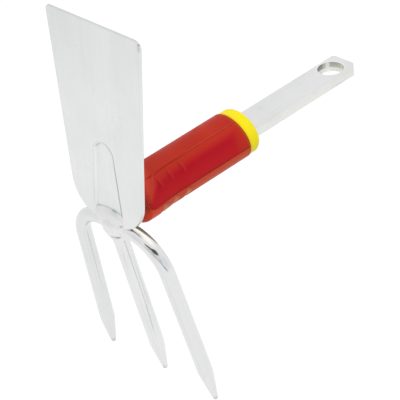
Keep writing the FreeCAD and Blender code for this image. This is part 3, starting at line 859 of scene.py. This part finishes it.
def light_room():
    """A white room with two soft boxes."""
    world = bpy.data.worlds.new("white room")
    bpy.context.scene.world = world
    world.use_nodes = True
    tree = world.node_tree
    background = tree.nodes["Background"]
    strength = reckon(tree, "MULTIPLY_ADD", seen_white(tree), 1 - ROOM_LIGHT, ROOM_LIGHT)
    feed(tree, background.inputs["Color"], WHITE)
    feed(tree, background.inputs["Strength"], strength)
    middle = (cad_box[0] + cad_box[1]) / 2
    add_soft_lamp("key", middle + KEY_FROM_HEAD, middle, KEY_POWER)
    add_soft_lamp("fill", middle + FILL_FROM_HEAD, middle, FILL_POWER)


# Modelling helpers

def pick_only(piece=None):
    """Deselects everything, then picks one piece."""
    bpy.ops.object.select_all(action="DESELECT")
    if piece:
        piece.select_set(True)
        bpy.context.view_layer.objects.active = piece


def add_and_apply(piece, kind, **settings):
    """Adds a modifier with its settings and applies it."""
    modifier = piece.modifiers.new(kind.lower(), kind)
    for name, value in settings.items():
        setattr(modifier, name, value)
    pick_only(piece)
    bpy.ops.object.modifier_apply(modifier=modifier.name)


def add_ring(name, turned):
    """A bare ring of the bar's size round the origin."""
    pick_only()
    bpy.ops.mesh.primitive_circle_add(
        vertices=ROD_SIDES, radius=ROD_RADIUS, fill_type="NOTHING", location=(0, 0, 0), rotation=turned
    )
    ring = bpy.context.object
    ring.name = name
    bpy.ops.object.transform_apply(location=True, rotation=True, scale=True)
    bpy.ops.object.mode_set(mode="EDIT")
    bpy.ops.mesh.select_all(action="SELECT")
    return ring


def pull_ring(way):
    """Extrudes the picked ring."""
    bpy.ops.mesh.extrude_edges_move(TRANSFORM_OT_translate={"value": way})


def shrink_ring(share, centre):
    """Scales the picked ring about a point."""
    bpy.ops.transform.resize(value=(share, share, share), center_override=centre)


def draw_point(base, way):
    """Pulls the picked ring out to a blunt point, ring by ring."""
    tip = ROD_RADIUS * POINT_TIP_SHARE
    rings = []
    for step in range(1, TAPER_STEPS + 1):
        share = step / TAPER_STEPS
        belly = POINT_BELLY_SHARE * ROD_RADIUS * share * (1 - share)
        rings.append((share * (POINT_LENGTH - tip), ROD_RADIUS + (tip - ROD_RADIUS) * share + belly))
    for step in range(1, TIP_STEPS):
        turn = math.pi / 2 * step / TIP_STEPS
        rings.append((POINT_LENGTH - tip + tip * math.sin(turn), tip * math.cos(turn)))
    reached = 0
    radius = ROD_RADIUS
    for place, new_radius in rings:
        pull_ring(way * (place - reached))
        shrink_ring(new_radius / radius, base + way * place)
        reached = place
        radius = new_radius
    pull_ring(way * (POINT_LENGTH - reached))
    bpy.ops.mesh.merge(type="COLLAPSE")


def tidy_mesh():
    """Joins doubled points, closes any hole and turns every face outwards, in edit mode."""
    bpy.ops.mesh.select_all(action="SELECT")
    bpy.ops.mesh.remove_doubles(threshold=MERGE_REACH)
    bpy.ops.mesh.fill_holes(sides=0)
    bpy.ops.mesh.normals_make_consistent(inside=False)


def stand_bar(piece, lean):
    """Leans a finished bar towards the handle and sets it at the bow's centre."""
    piece.rotation_euler = (0, -lean, 0)
    piece.location = BOW_CENTRE
    pick_only(piece)
    bpy.ops.object.transform_apply(location=True, rotation=True, scale=True)


def lay_bar_map(piece, place_on_bar):
    """Gives a bar its own map: metres along it, and metres round it from its outer side."""
    layer = piece.data.uv_layers.new(name="bar")
    for face in piece.data.polygons:
        spots = []
        for loop in face.loop_indices:
            spots.append(place_on_bar(piece.data.vertices[piece.data.loops[loop].vertex_index].co))
        across_seam = max(s[1] for s in spots) - min(s[1] for s in spots) > math.pi * ROD_RADIUS
        for loop, (length, round_it) in zip(face.loop_indices, spots):
            if across_seam and round_it < 0:
                round_it += 2 * math.pi * ROD_RADIUS
            layer.data[loop].uv = (length, round_it)


def finish(piece, material, slot, *nodes):
    """Smooths a new piece, gives it its finish, and puts it in its nodes' place."""
    pick_only(piece)
    bpy.ops.object.shade_smooth_by_angle(angle=SMOOTH_ANGLE)
    piece.data.materials.clear()
    piece.data.materials.append(material)
    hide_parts(*nodes)
    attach(piece, "root")


# The bars

def bow_shape():
    """The bow in its own plane: leg direction, leg length, turn of the bend and where it starts."""
    reach = (BOW_CENTRE.z - TIP_Z) / math.cos(BOW_LEAN)
    leg = Vector((0, (TIP_SPREAD - BOW_WIDTH) / 2, -reach))
    way = leg.normalized()
    turn = math.acos(way.y)
    setback = BEND_RADIUS * math.tan(turn / 2)
    return way, leg.length - setback, turn, BOW_WIDTH / 2 - setback


def model_bow(material):
    """The bent bar: half of it is pulled, spun and drawn to a point, then mirrored."""
    way, leg, turn, bend_start = bow_shape()
    bow = add_ring("bent_tine_bar", (math.radians(90), 0, 0))
    pull_ring(Vector((0, bend_start, 0)))
    centre = Vector((0, bend_start, -BEND_RADIUS))
    bpy.ops.mesh.spin(steps=BEND_STEPS, angle=turn, center=centre, axis=(1, 0, 0))
    bend_end = centre + Vector((0, math.sin(turn), math.cos(turn))) * BEND_RADIUS
    pull_ring(way * (leg - POINT_LENGTH))
    draw_point(bend_end + way * (leg - POINT_LENGTH), way)
    bpy.ops.object.mode_set(mode="OBJECT")
    add_and_apply(bow, "MIRROR", use_axis=(False, True, False), merge_threshold=MERGE_REACH)
    bpy.ops.object.mode_set(mode="EDIT")
    tidy_mesh()
    bpy.ops.object.mode_set(mode="OBJECT")

    def place_on_bow(spot):
        """Metres along the bow from its middle, and metres round its bar."""
        side = math.copysign(1, spot.y)
        across = abs(spot.y) - bend_start
        angle = math.atan2(across, spot.z + BEND_RADIUS)
        if across <= 0:
            length = abs(spot.y)
            outward = spot.z
        elif angle <= turn:
            length = bend_start + BEND_RADIUS * angle
            outward = math.hypot(across, spot.z + BEND_RADIUS) - BEND_RADIUS
        else:
            past = Vector((0, abs(spot.y), spot.z)) - bend_end
            length = bend_start + BEND_RADIUS * turn + past.dot(way)
            outward = past.dot(Vector((0, -way.z, way.y)))
        return side * length, math.atan2(spot.x, outward) * ROD_RADIUS

    lay_bar_map(bow, place_on_bow)
    stand_bar(bow, BOW_LEAN)
    finish(bow, material, "rod_steel", "tine_bow")


def model_middle_tine(material):
    """The straight bar under the bow's middle."""
    length = (BOW_CENTRE.z - TIP_Z) / math.cos(MIDDLE_LEAN) - POINT_LENGTH
    down = Vector((0, 0, -1))
    tine = add_ring("straight_tine_bar", (0, 0, 0))
    pull_ring(down * length)
    draw_point(down * length, down)
    tidy_mesh()
    bpy.ops.object.mode_set(mode="OBJECT")
    lay_bar_map(tine, lambda spot: (-spot.z, math.atan2(spot.y, -spot.x) * ROD_RADIUS))
    stand_bar(tine, MIDDLE_LEAN)
    finish(tine, material, "rod_steel", "middle_tine")


# The welds

def copy_solid(node, name):
    """A copy of a CAD node with its doubles merged."""
    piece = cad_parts[node].copy()
    piece.data = piece.data.copy()
    piece.name = name
    bpy.context.scene.collection.objects.link(piece)
    pick_only(piece)
    bpy.ops.object.mode_set(mode="EDIT")
    bpy.ops.mesh.select_all(action="SELECT")
    bpy.ops.mesh.remove_doubles(threshold=MERGE_REACH)
    bpy.ops.object.mode_set(mode="OBJECT")
    return piece


def soften(piece, smoothing):
    """Turns joined solids into one closed skin and smooths it."""
    add_and_apply(piece, "REMESH", mode="VOXEL", voxel_size=BEAD_VOXEL)
    add_and_apply(piece, "SMOOTH", iterations=smoothing)


def model_bead(node, material):
    """A fillet weld: the weld's solid softened, swollen and laid in ripples along Y."""
    bead = copy_solid(node, node + "_bead")
    soften(bead, BEAD_SMOOTHING)
    for point in bead.data.vertices:
        wave = abs(math.sin(math.pi * point.co.y / RIPPLE_SIZE))
        point.co += point.normal * (BEAD_GROWTH + RIPPLE_HEIGHT * wave)
    finish(bead, material, "weld_bead", node)


def model_joint(material):
    """The welds of bow, middle tine and blade, softened together with the bars that they hold."""
    joint = copy_solid("front_weld", "tine_joint")
    parts = [joint, copy_solid("tine_weld", "cone")]
    tine_way = Vector((math.sin(MIDDLE_LEAN), 0, -math.cos(MIDDLE_LEAN)))
    pick_only()
    for middle, length, turn in (
        (BOW_CENTRE, 2 * JOINT_HALF_WIDTH, (math.radians(90), 0, 0)),
        (BOW_CENTRE + tine_way * JOINT_DEPTH / 2, JOINT_DEPTH, (0, -MIDDLE_LEAN, 0)),
    ):
        bpy.ops.mesh.primitive_cylinder_add(
            vertices=ROD_SIDES, radius=ROD_RADIUS, depth=length, location=middle, rotation=turn
        )
        parts.append(bpy.context.object)
    for middle, half, lean in (
        (PILLOW_CENTRE, PILLOW_HALF, BLADE_LEAN),
        (SADDLE_CENTRE, SADDLE_HALF, -MIDDLE_LEAN),
    ):
        bpy.ops.mesh.primitive_uv_sphere_add(
            segments=BALL_SEGMENTS, ring_count=BALL_RINGS, radius=1,
            location=middle, rotation=(0, lean, 0), scale=half,
        )
        parts.append(bpy.context.object)
    pick_only(joint)
    for part in parts:
        part.select_set(True)
    bpy.ops.object.join()
    soften(joint, JOINT_SMOOTHING)
    body = joint.vertex_groups.new(name="body")
    for point in joint.data.vertices:
        beyond = max(
            abs(point.co.y) - (JOINT_HALF_WIDTH - JOINT_BLEND),
            (point.co - BOW_CENTRE).dot(tine_way) - (JOINT_DEPTH - JOINT_BLEND),
        )
        body.add([point.index], 1 - min(1, max(0, beyond / JOINT_BLEND)), "REPLACE")
    uneven = bpy.data.textures.new("uneven", "CLOUDS")
    uneven.noise_scale = RIPPLE_SIZE
    add_and_apply(joint, "DISPLACE", strength=-JOINT_SINK, mid_level=0)
    add_and_apply(joint, "DISPLACE", strength=JOINT_GROWTH + JOINT_SINK, mid_level=0, vertex_group="body")
    add_and_apply(joint, "DISPLACE", strength=UNEVEN_HEIGHT, texture=uneven, vertex_group="body")
    finish(joint, material, "weld_bead", "front_weld", "tine_weld")


def dress(node, material):
    """Gives a CAD node its finish."""
    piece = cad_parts[node]
    piece.data.materials.clear()
    piece.data.materials.append(material)


set_camera()
make_floor()
light_room()

rod = rod_steel()
weld = weld_steel()
panel = panel_plastic()
dress("hoe_blade", blade_steel())
dress("tang_bar", tang_steel())
dress("grip_sleeve", red_plastic())
dress("grip_panel_near", panel)
dress("grip_panel_far", panel)
dress("collar", yellow_plastic())
model_bow(rod)
model_middle_tine(rod)
for weld_node in ("bar_top_weld", "bar_under_weld"):
    model_bead(weld_node, weld)
model_joint(weld)

bpy.context.scene.view_settings.view_transform = "Standard"
